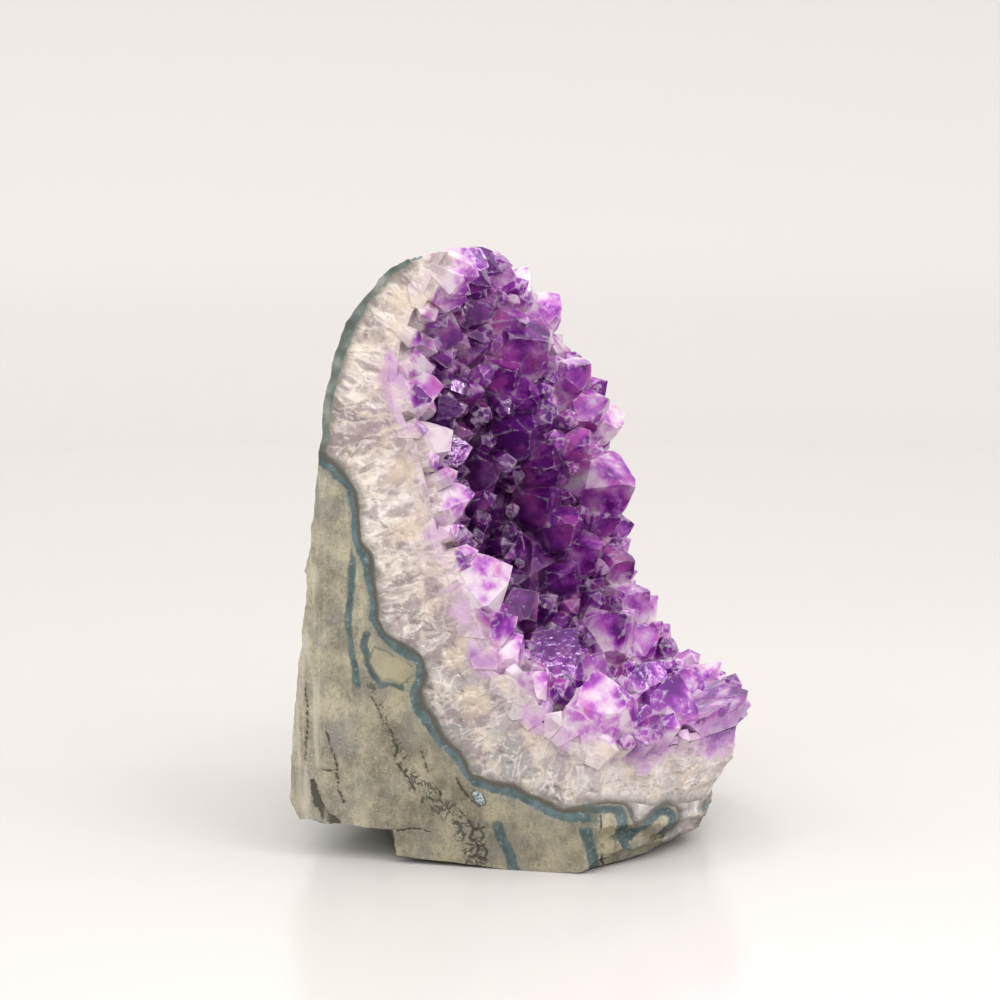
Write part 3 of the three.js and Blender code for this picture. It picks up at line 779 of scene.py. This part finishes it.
def make_crystals():
    rng = random.Random(SEED)
    bm = cad_copy("amethyst_crystals")
    bmesh.ops.triangulate(bm, faces=bm.faces)
    bm.normal_update()
    small = spread(place_small(bm, rng), SMALL_BATCHES)
    rim = place_rim(bm, rng, 0.0, -1) + place_rim(bm, rng, DEPTH, 1) + place_lip(bm, rng)
    piece = finish_mesh(bm, "amethyst_druse", "amethyst_crystals")
    for group in spread(rim, RIM_BATCHES) + small:
        if group:
            unite(piece, crystal_batch(group, rng))
    edge_gap, crystal_of = refine_crystals(piece)
    points = [TO_STONE @ v.co for v in piece.data.vertices]
    heights = np.array([distance_to("quartz_layer", p) for p in points])
    highest = np.zeros(crystal_of.max() + 1)
    np.maximum.at(highest, crystal_of, heights)
    put(piece, "height", heights)
    put(piece, "lift", heights / np.maximum(highest[crystal_of], 1))
    # distance from the sharp edges, which get a painted highlight
    put(piece, "edge", edge_gap)
    put(piece, "inner", [inside_of(p) for p in points])
    put(piece, "level", [p.z for p in points])
    put(piece, "pale", [paleness(p) for p in points])
    shades = np.random.RandomState(SEED).rand(len(highest), 2)
    put(piece, "shade", shades[crystal_of, 0])
    put(piece, "clear", shades[crystal_of, 1])
    put_columns(piece, [column_at(p) for p in points])
    return piece


# Materials

class Shader:
    """A material's node tree, built by short calls. Lengths inside it are in millimetres."""

    def __init__(self, name):
        self.material = bpy.data.materials.new(name)
        self.material.use_nodes = True
        self.tree = self.material.node_tree
        self.surface = self.tree.nodes["Principled BSDF"]
        coordinates = self.tree.nodes.new("ShaderNodeTexCoord").outputs["Object"]
        self.place = self.vector_math("SCALE", coordinates, scale=1 / PER_MM)

    def fill(self, socket, value):
        """Links a socket to another or to a stored value by its name, or sets it."""
        if isinstance(value, str):
            value = self.attribute(value)
        if isinstance(value, bpy.types.NodeSocket):
            self.tree.links.new(value, socket)
        elif value is not None:
            socket.default_value = (*value, 1) if socket.type == "RGBA" else value

    def attribute(self, name, output="Fac"):
        node = self.tree.nodes.new("ShaderNodeAttribute")
        node.attribute_name = name
        return node.outputs[output]

    def shifted(self, x, y, z):
        """The same place, moved to an unrelated part of a pattern."""
        return self.vector_math("ADD", self.place, (x, y, z))

    def stretched(self, x, y, z):
        """The same place, scaled, which draws a pattern out along its small axes."""
        return self.vector_math("MULTIPLY", self.place, (x, y, z))

    def warped(self, size, reach):
        """The same place, wavering by reach."""
        drift = self.vector_math("SUBTRACT", self.noise(size, 2, output="Color"), (0.5, 0.5, 0.5))
        return self.vector_math("ADD", self.place, self.vector_math("SCALE", drift, scale=2 * reach))

    def math(self, operation, *values):
        node = self.tree.nodes.new("ShaderNodeMath")
        node.operation = operation
        for socket, value in zip(node.inputs, values):
            self.fill(socket, value)
        return node.outputs[0]

    def plus(self, a, b):
        return self.math("ADD", a, b)

    def times(self, a, b, plus=0):
        return self.math("MULTIPLY_ADD", a, b, plus)

    def apart(self, a, b):
        """The distance between two numbers."""
        return self.math("ABSOLUTE", self.math("SUBTRACT", a, b))

    def vector_math(self, operation, a, b=None, scale=None):
        node = self.tree.nodes.new("ShaderNodeVectorMath")
        node.operation = operation
        self.fill(node.inputs[0], a)
        if scale is None:
            self.fill(node.inputs[1], b)
        else:
            self.fill(node.inputs["Scale"], scale)
        return node.outputs[0]

    def noise(self, size, detail=3.0, rough=0.5, at=None, output="Fac", distort=0.0):
        """Noise with lumps of that size."""
        node = self.tree.nodes.new("ShaderNodeTexNoise")
        values = {"Scale": 1 / size, "Detail": detail, "Roughness": rough, "Distortion": distort}
        for name, value in values.items():
            node.inputs[name].default_value = value
        self.fill(node.inputs["Vector"], at or self.place)
        return node.outputs[output]

    def waver(self, reach, size, detail=3, rough=0.5, at=None):
        """The same noise, about 0 and by reach to each side."""
        return self.times(self.noise(size, detail, rough, at), 2 * reach, -reach)

    def cells(self, size, feature="F1", at=None):
        """Distances in Voronoi cells of that size."""
        node = self.tree.nodes.new("ShaderNodeTexVoronoi")
        node.feature = feature
        node.inputs["Scale"].default_value = 1 / size
        self.fill(node.inputs["Vector"], at or self.place)
        return node.outputs["Distance"]

    def step(self, value, low, high, out_low=0.0, out_high=1.0):
        """A smooth step from out_low at low to out_high at high."""
        node = self.tree.nodes.new("ShaderNodeMapRange")
        node.interpolation_type = "SMOOTHSTEP"
        for socket, number in zip(node.inputs, (value, low, high, out_low, out_high)):
            self.fill(socket, number)
        return node.outputs["Result"]

    def mix(self, share, a, b, blend="MIX"):
        node = self.tree.nodes.new("ShaderNodeMix")
        node.data_type = "RGBA"
        node.blend_type = blend
        self.fill(node.inputs["Factor"], share)
        self.fill(node.inputs["A"], a)
        self.fill(node.inputs["B"], b)
        return node.outputs["Result"]

    def lay(self, base, colour, value, low, high, share=1.0):
        """A colour laid over the base, from none of it at low to that share at high."""
        return self.mix(self.step(value, low, high, 0, share), base, colour)

    def ramp(self, value, *stops):
        node = self.tree.nodes.new("ShaderNodeValToRGB")
        ramp = node.color_ramp
        while len(ramp.elements) < len(stops):
            ramp.elements.new(0.5)
        for element, (position, colour) in zip(ramp.elements, stops):
            element.position = position
            element.color = (*colour, 1)
        self.fill(node.inputs["Fac"], value)
        return node.outputs["Color"]

    def bump(self, height, depth):
        """A relief that is depth millimetres deep where height runs from 0 to 1."""
        node = self.tree.nodes.new("ShaderNodeBump")
        node.inputs["Distance"].default_value = depth * PER_MM
        self.fill(node.inputs["Height"], height)
        return node.outputs["Normal"]

    def set(self, **values):
        for name, value in values.items():
            self.fill(self.surface.inputs[name.replace("_", " ")], value)


def paint(piece, shader):
    piece.data.materials.clear()
    piece.data.materials.append(shader.material)


def rock_colour(s):
    """Olive-grey basalt with soft mottling, dark and pale grains and paler streaks."""
    base = s.ramp(
        s.step(s.noise(9, 5, 0.7), 0.28, 0.72),
        (0.15, (0.16, 0.147, 0.108)), (0.5, (0.252, 0.231, 0.168)), (0.85, (0.35, 0.318, 0.228)),
    )
    grey = s.noise(8, 3, 0.55, at=s.shifted(31, 5, 9))
    base = s.lay(base, (0.185, 0.182, 0.162), grey, 0.48, 0.66, 0.7)
    fine = s.noise(0.6, 3, 0.7)
    base = s.lay(base, (0.085, 0.078, 0.062), fine, 0.55, 0.7, 0.65)
    base = s.lay(base, (0.42, 0.39, 0.31), fine, 0.44, 0.3, 0.5)
    streak = s.noise(2.4, 4, 0.6, at=s.stretched(1, 1, 0.22), distort=0.4)
    return s.lay(base, (0.37, 0.34, 0.27), streak, 0.54, 0.68, 0.4)


def teal_colour(s):
    """Blue-green celadonite, with paler clouds and specks."""
    base = s.lay((0.042, 0.068, 0.07), (0.088, 0.132, 0.14), s.noise(3), 0.3, 0.7)
    return s.lay(base, (0.2, 0.27, 0.29), s.noise(0.8, 2, at=s.shifted(3, 8, 1)), 0.6, 0.7, 0.55)


def quartz_colour(s):
    """Cream, grey and lilac quartz in long soft streaks."""
    along = s.attribute("streak", "Vector")
    streak = s.noise(2.3, 5, 0.6, at=along, distort=0.25)
    base = s.ramp(
        s.times(streak, 1.6, s.times("tone", 0.42, -0.51)),
        (0.24, (0.25, 0.195, 0.19)), (0.4, (0.365, 0.31, 0.295)),
        (0.54, (0.48, 0.42, 0.39)), (0.74, (0.64, 0.585, 0.54)),
    )
    cold = s.times(s.step("level", 66, 26, 0, 0.9), s.step(s.noise(7), 0.3, 0.6, 0.65, 1))
    base = s.mix(s.times(cold, s.step("lipward", 0, 1, 1, 0.3)), base, (0.25, 0.24, 0.242))
    pane = s.noise(3, 2, at=s.vector_math("ADD", along, (30, 12, 7)), distort=0.3)
    base = s.lay(base, (0.24, 0.185, 0.19), pane, 0.5, 0.6, 0.68)
    base = s.lay(base, (0.7, 0.64, 0.57), s.apart(pane, 0.49), 0.04, 0.005, 0.4)
    fleck = s.noise(1.1, 3, 0.6, at=s.shifted(17, 2, 5))
    base = s.lay(base, (0.68, 0.65, 0.61), fleck, 0.58, 0.7, 0.5)
    base = s.lay(base, (0.68, 0.63, 0.6), "lipward", 0, 1, 0.3)
    pit = s.noise(1, 3, 0.6, at=s.shifted(3, 9, 70))
    base = s.lay(base, (0.15, 0.115, 0.1), pit, 0.62, 0.71, 0.6)
    base = s.lay(base, (0.62, 0.54, 0.45), s.plus("edge", s.waver(0.12, 1.2)), 0.1, 0.02, 0.45)
    base = s.lay(base, (0.42, 0.31, 0.37), s.plus("share", s.waver(0.4, 5)), 0.42, 0.85, 0.3)
    iron = s.step(s.noise(7, at=s.shifted(7, 3, 50)), 0.52, 0.64)
    base = s.mix(s.times(iron, s.step("share", 0.2, 0.6, 0, 0.5)), base, (0.6, 0.49, 0.36))
    violet = s.plus("violet", s.waver(0.65, 2.6, 4, 0.6, at=along))
    base = s.lay(base, (0.46, 0.29, 0.45), violet, 0.0, 0.5, 0.85)
    base = s.lay(base, (0.3, 0.11, 0.35), violet, 0.5, 1.05, 0.8)
    base = s.lay(base, (0.15, 0.02, 0.23), violet, 1.05, 1.4, 0.8)
    return s.lay(base, (0.155, 0.146, 0.13), s.plus("band_gap", s.waver(0.9, 1.8)), 2.2, -0.2, 0.9)


def foot_quartz(s):
    """The quartz of the lip's foot, in grey and white streaks."""
    return s.ramp(
        s.noise(2.2, 5, 0.6, at=s.stretched(1, 1, 0.4), distort=0.3),
        (0.3, (0.25, 0.22, 0.22)), (0.48, (0.4, 0.365, 0.36)), (0.65, (0.6, 0.555, 0.53)),
    )


def with_lip(s, own, rock, teal, quartz):
    """The colour of a layer where the lip's own pattern is laid over it."""
    waver = s.waver(0.4, 1.3, 3, 0.6, at=s.shifted(6, 6, 6))
    edge = s.plus("lip_rock", waver)
    colour = s.lay(quartz, rock, edge, 0.1, -0.1)
    colour = s.lay(colour, (0.05, 0.045, 0.035), s.times(waver, 0.5, "lip_crack"), 0.15, -0.1)
    vein = s.times(waver, 0.8, "lip_teal")
    colour = s.lay(colour, (0.09, 0.105, 0.095), vein, 0.3, 0.05, 0.8)
    colour = s.lay(colour, teal, vein, 0.08, -0.12)
    colour = s.lay(colour, (0.1, 0.09, 0.075), s.apart(edge, 0.15), 0.75, 0.35)
    haze = s.times(s.step(edge, 2.6, 0.5, 0, 0.6), s.step(edge, 0.2, 0.4))
    colour = s.mix(haze, colour, (0.2, 0.195, 0.18))
    return s.mix("lip", own, colour)


def basalt_material():
    s = Shader("basalt_ground")
    base = rock_colour(s)
    teal = teal_colour(s)
    waver = s.waver(0.45, 1.3, 3, 0.6)
    zone = s.step(s.plus("breccia", waver), 0.8, -0.8)
    marks = s.noise(1.5, 4, 0.6, at=s.shifted(4, 4, 4), distort=0.5)
    base = s.mix(s.times(zone, s.step(marks, 0.46, 0.53, 0, 0.5)), base, (0.36, 0.33, 0.24))
    base = s.mix(s.times(zone, s.step(marks, 0.555, 0.6, 0, 0.85)), base, (0.07, 0.07, 0.058))
    net = s.cells(1.8, "DISTANCE_TO_EDGE", at=s.warped(1.5, 0.5))
    patchy = s.times(s.noise(2.6, 3, 0.6, at=s.shifted(2, 7, 5)), 1.1, -0.5)
    net = s.step(s.plus(net, patchy), 0.14, 0.05, 0, 0.9)
    base = s.mix(s.times(zone, net), base, (0.06, 0.058, 0.047))
    # dark cracks, and painted shade in the pit at the lower-left corner
    crack_and_pit_shade = s.plus("crack_and_pit_shade", s.waver(0.75, 0.9, 4, 0.7, at=s.shifted(8, 2, 2)))
    base = s.lay(base, (0.17, 0.155, 0.115), crack_and_pit_shade, 0.7, 0.1, 0.4)
    base = s.lay(base, (0.05, 0.045, 0.033), crack_and_pit_shade, 0.18, -0.02, 0.93)
    vein = s.times(waver, 0.8, "vein")
    base = s.lay(base, (0.11, 0.12, 0.1), vein, 0.5, 0.1)
    base = s.lay(base, teal, vein, 0.1, -0.12)
    pocket = s.times(waver, 1.8, "pocket")
    pale_bits = s.lay((0.07, 0.115, 0.13), (0.42, 0.49, 0.51), s.noise(0.55, 3, 0.7), 0.42, 0.58)
    base = s.lay(base, (0.08, 0.085, 0.075), pocket, 0.45, 0.2)
    base = s.lay(base, pale_bits, pocket, 0.1, -0.2)
    base = s.lay(base, (0.2, 0.22, 0.19), s.plus("band_gap", waver), 0.8, 0.1, 0.5)
    margin = s.step(s.noise(2, 4, at=s.stretched(1, 1, 0.12)), 0.46, 0.6, 0, 0.6)
    base = s.mix(s.times(s.step("left", -39, -42), margin), base, (0.42, 0.395, 0.33))
    base = with_lip(s, base, rock_colour(s), teal, foot_quartz(s))
    island = s.times(waver, 0.6, "island")
    base = s.lay(base, (0.33, 0.295, 0.19), island, 0.15, -0.1, 0.6)
    base = s.lay(base, (0.11, 0.115, 0.09), s.apart(island, 0.1), 0.35, 0.1, 0.6)
    base = s.mix(s.step("left", -38, -16), base, (0.81, 0.8, 0.77), "MULTIPLY")
    relief = s.times(s.noise(0.6, 3, 0.7), 0.6, s.noise(3, 4, 0.6))
    s.set(Base_Color=base, Roughness=0.6, Specular_IOR_Level=0.3, Normal=s.bump(relief, 0.2))
    return s


def lining_material():
    s = Shader("teal_band")
    across = s.plus("across", s.waver(0.15, 1.1, 3, 0.6))
    teal = teal_colour(s)
    rock = rock_colour(s)
    band = s.lay(s.mix(0.35, rock, (0.09, 0.095, 0.08)), teal, across, 0.2, 0.3)
    band = s.lay(band, (0.07, 0.062, 0.048), across, 0.56, 0.74)
    band = s.lay(band, (0.16, 0.148, 0.128), across, 0.8, 1.0, 0.8)
    skin = s.ramp(
        s.noise(5, 4, 0.6),
        (0.35, (0.055, 0.07, 0.062)), (0.55, (0.12, 0.145, 0.13)), (0.7, (0.24, 0.255, 0.23)),
    )
    base = with_lip(s, s.mix("skin", band, skin), rock, teal, foot_quartz(s))
    relief = s.noise(1.2, 3, 0.6)
    s.set(Base_Color=base, Roughness=0.36, Specular_IOR_Level=0.45, Normal=s.bump(relief, 0.08))
    return s


def quartz_material():
    s = Shader("quartz_wall")
    own = quartz_colour(s)
    base = with_lip(s, own, rock_colour(s), teal_colour(s), own)
    relief = s.plus(s.noise(0.9, 3, 0.6), s.noise(1.7, 3, 0.6, at=s.attribute("streak", "Vector")))
    s.set(
        Base_Color=base, Roughness=s.step(s.noise(2.2, 3), 0.3, 0.7, 0.16, 0.42), Specular_IOR_Level=0.5,
        Subsurface_Weight=0.3, Subsurface_Scale=2.0 * PER_MM, Subsurface_Radius=(1.0, 0.8, 1.0),
        Normal=s.bump(relief, 0.16),
    )
    return s


def amethyst_material():
    s = Shader("amethyst_clear")
    ripe = s.times("lift", 0.5, s.times("shade", 0.5, -1.27))
    ripe = s.times(s.noise(5.2, distort=0.2), 2.25, ripe)
    # darker deep in the hollow: partly the crystals' deeper purple, partly painted shade
    ripe = s.times("pale", -0.06, s.times("inner", 0.55, ripe))
    base = s.ramp(
        ripe,
        (0.05, (0.78, 0.68, 0.73)), (0.26, (0.68, 0.49, 0.67)), (0.46, (0.54, 0.19, 0.57)),
        (0.68, (0.3, 0.04, 0.4)), (0.95, (0.1, 0.004, 0.15)),
    )
    pink = s.noise(7, 2, at=s.shifted(12, 1, 4))
    base = s.lay(base, (0.55, 0.1, 0.42), pink, 0.53, 0.66, 0.6)
    blue = s.times(s.step("shade", 0.6, 0.8, 0, 0.3), s.step(ripe, 0.3, 0.6))
    base = s.mix(blue, base, (0.2, 0.03, 0.36))
    veil = s.step(s.noise(2.4, 4, 0.65, at=s.shifted(1, 22, 3), distort=0.25), 0.55, 0.7, 0, 0.6)
    base = s.mix(s.times(veil, s.step("inner", 0.8, 0.1, 0.2, 1)), base, (0.8, 0.71, 0.78))
    # painted highlight: paler along the crystals' sharp edges
    base = s.lay(base, (0.84, 0.72, 0.82), s.plus("edge", s.waver(0.8, 1.3)), 0.3, -0.1, 0.5)
    # painted shade: near-black low between the crystals in the middle of the hollow
    gap = s.times(s.step("lift", 0.75, 0.35), s.step("inner", 0.3, 0.9, 0, 0.85))
    base = s.mix(gap, base, (0.035, 0.004, 0.055))
    waver = s.times("pale", -2, s.waver(1.6, 2.2, 3, 0.6))
    root = s.times(s.step(s.plus("height", waver), 3, 1.4), s.step("inner", 0.35, 0))
    base = s.mix(root, base, s.mix(0.12, quartz_colour(s), (0.75, 0.69, 0.68)))
    clear = s.times("clear", 0.25, s.step("inner", 0, 1, 0.3, 0.55))
    clear = s.times(clear, s.step("height", 1.2, 3.2, 0.25, 1))
    clear = s.times(clear, s.step(root, 0, 1, 1, 0.12))
    relief = s.times(s.cells(2.4), 0.4, s.noise(1.6, 3, 0.6))
    grown = s.plus(s.noise(0.9, 3, 0.6), s.noise(1.7, 3, 0.6, at=s.attribute("streak", "Vector")))
    relief = s.times(s.times(grown, root), 3, relief)
    s.set(
        Base_Color=base, Roughness=s.step(root, 0, 1, 0.045, 0.28), IOR=1.54, Transmission_Weight=clear,
        Specular_IOR_Level=0.35, Specular_Tint=(0.78, 0.55, 0.86), Normal=s.bump(relief, 0.06),
    )
    inside = s.tree.nodes.new("ShaderNodeVolumeAbsorption")
    inside.inputs["Color"].default_value = (0.82, 0.25, 0.85, 1)
    inside.inputs["Density"].default_value = 70
    output = next(n for n in s.tree.nodes if n.type == "OUTPUT_MATERIAL")
    s.tree.links.new(inside.outputs[0], output.inputs["Volume"])
    return s


# Stage, lights and camera

FLOOR_RADIUS = 0.9
FLOOR_BEND = 1.5
BEND_END = math.radians(60)
BEND_STEPS = 20
FLOOR_SIDES = 96


def make_stage():
    """A pale round floor that bends up all round into a backdrop."""
    turns = [BEND_END * k / BEND_STEPS for k in range(BEND_STEPS + 1)]
    profile = [(FLOOR_RADIUS + FLOOR_BEND * math.sin(a), FLOOR_BEND * (1 - math.cos(a))) for a in turns]
    verts = [(0, 0, 0)]
    for radius, height in profile:
        for k in range(FLOOR_SIDES):
            turn = 2 * math.pi * k / FLOOR_SIDES
            verts.append((radius * math.cos(turn), radius * math.sin(turn), height))
    faces = []
    for k in range(FLOOR_SIDES):
        n = (k + 1) % FLOOR_SIDES
        faces.append((0, 1 + k, 1 + n))
        for ring in range(BEND_STEPS):
            inner = 1 + ring * FLOOR_SIDES
            outer = inner + FLOOR_SIDES
            faces.append((inner + k, outer + k, outer + n, inner + n))
    mesh = bpy.data.meshes.new("floor")
    mesh.from_pydata(verts, [], faces)
    mesh.shade_smooth()
    floor = add_object("floor", mesh)
    s = Shader("pale_floor")
    s.set(Base_Color=(0.495, 0.477, 0.467), Roughness=0.2, Specular_IOR_Level=0.15)
    paint(floor, s)


SKY_LEVEL = 0.3
SKY_LAMPS = [  # a direction in the stone's frame, and how much brighter the sky is there
    ((0.5, -0.55, 0.67), 2.1),
    ((-0.7, -0.3, 0.65), 1.3),
    ((0.25, 0.75, 0.61), 1.3),
]
SKY_LAMP_EDGE = (0.62, 0.84)
GLINT_PANES = [  # places in the stone's frame
    (330, -330, 420), (430, -120, 300), (-60, 20, 480), (60, -480, 260), (-420, -260, 260),
    (200, -120, 520), (350, 120, 380), (140, -420, 420), (-220, -330, 430), (460, -300, 120),
]
PANES_FACE = Vector((-5, 30, 60))
PANE_SIZE = 0.04
PANE_POWER = 0.21


def make_lights():
    """Three wide soft lamps far off in a dim sky, and small bright panes that make the glints."""
    world = bpy.data.worlds.new("studio")
    bpy.context.scene.world = world
    world.use_nodes = True
    tree = world.node_tree
    sky = tree.nodes["Background"]
    sky.inputs["Color"].default_value = (1.0, 0.985, 0.965, 1)
    direction = tree.nodes.new("ShaderNodeTexCoord").outputs["Generated"]
    total = tree.nodes.new("ShaderNodeValue").outputs[0]
    total.default_value = SKY_LEVEL
    for towards, strength in SKY_LAMPS:
        facing = tree.nodes.new("ShaderNodeVectorMath")
        facing.operation = "DOT_PRODUCT"
        facing.inputs[1].default_value = (TO_PART.to_3x3() @ Vector(towards)).normalized()
        tree.links.new(direction, facing.inputs[0])
        lamp = tree.nodes.new("ShaderNodeMapRange")
        lamp.interpolation_type = "SMOOTHSTEP"
        lamp.inputs["From Min"].default_value, lamp.inputs["From Max"].default_value = SKY_LAMP_EDGE
        lamp.inputs["To Max"].default_value = strength
        tree.links.new(facing.outputs["Value"], lamp.inputs["Value"])
        both = tree.nodes.new("ShaderNodeMath")
        both.operation = "ADD"
        tree.links.new(total, both.inputs[0])
        tree.links.new(lamp.outputs["Result"], both.inputs[1])
        total = both.outputs[0]
    tree.links.new(total, sky.inputs["Strength"])
    for number, place in enumerate(GLINT_PANES):
        light = bpy.data.lights.new(f"pane_{number}", "AREA")
        light.size = PANE_SIZE
        light.energy = PANE_POWER
        pane = add_object(light.name, light)
        pane.location = TO_PART @ Vector(place)
        sight = TO_PART @ PANES_FACE - pane.location
        pane.rotation_euler = sight.to_track_quat("-Z", "Y").to_euler()


def make_camera():
    data = bpy.data.cameras.new("camera")
    data.lens = 85
    data.sensor_width = 36
    data.clip_start = 0.01
    camera = add_object("camera", data)
    camera.location = TO_PART @ VIEWPOINT
    camera.rotation_euler = (math.pi / 2 - SIGHT_RISE, 0, SIGHT_TURN + FRONT_TURN)
    bpy.context.scene.camera = camera


def set_picture():
    scene = bpy.context.scene
    scene.view_settings.view_transform = "Standard"
    scene.cycles.use_denoising = True
    scene.cycles.max_bounces = 7
    scene.cycles.transmission_bounces = 6
    scene.cycles.diffuse_bounces = 3
    scene.cycles.glossy_bounces = 3


paint(make_basalt(), basalt_material())
paint(make_lining(), lining_material())
paint(make_quartz(), quartz_material())
paint(make_crystals(), amethyst_material())
make_stage()
make_lights()
make_camera()
set_picture()
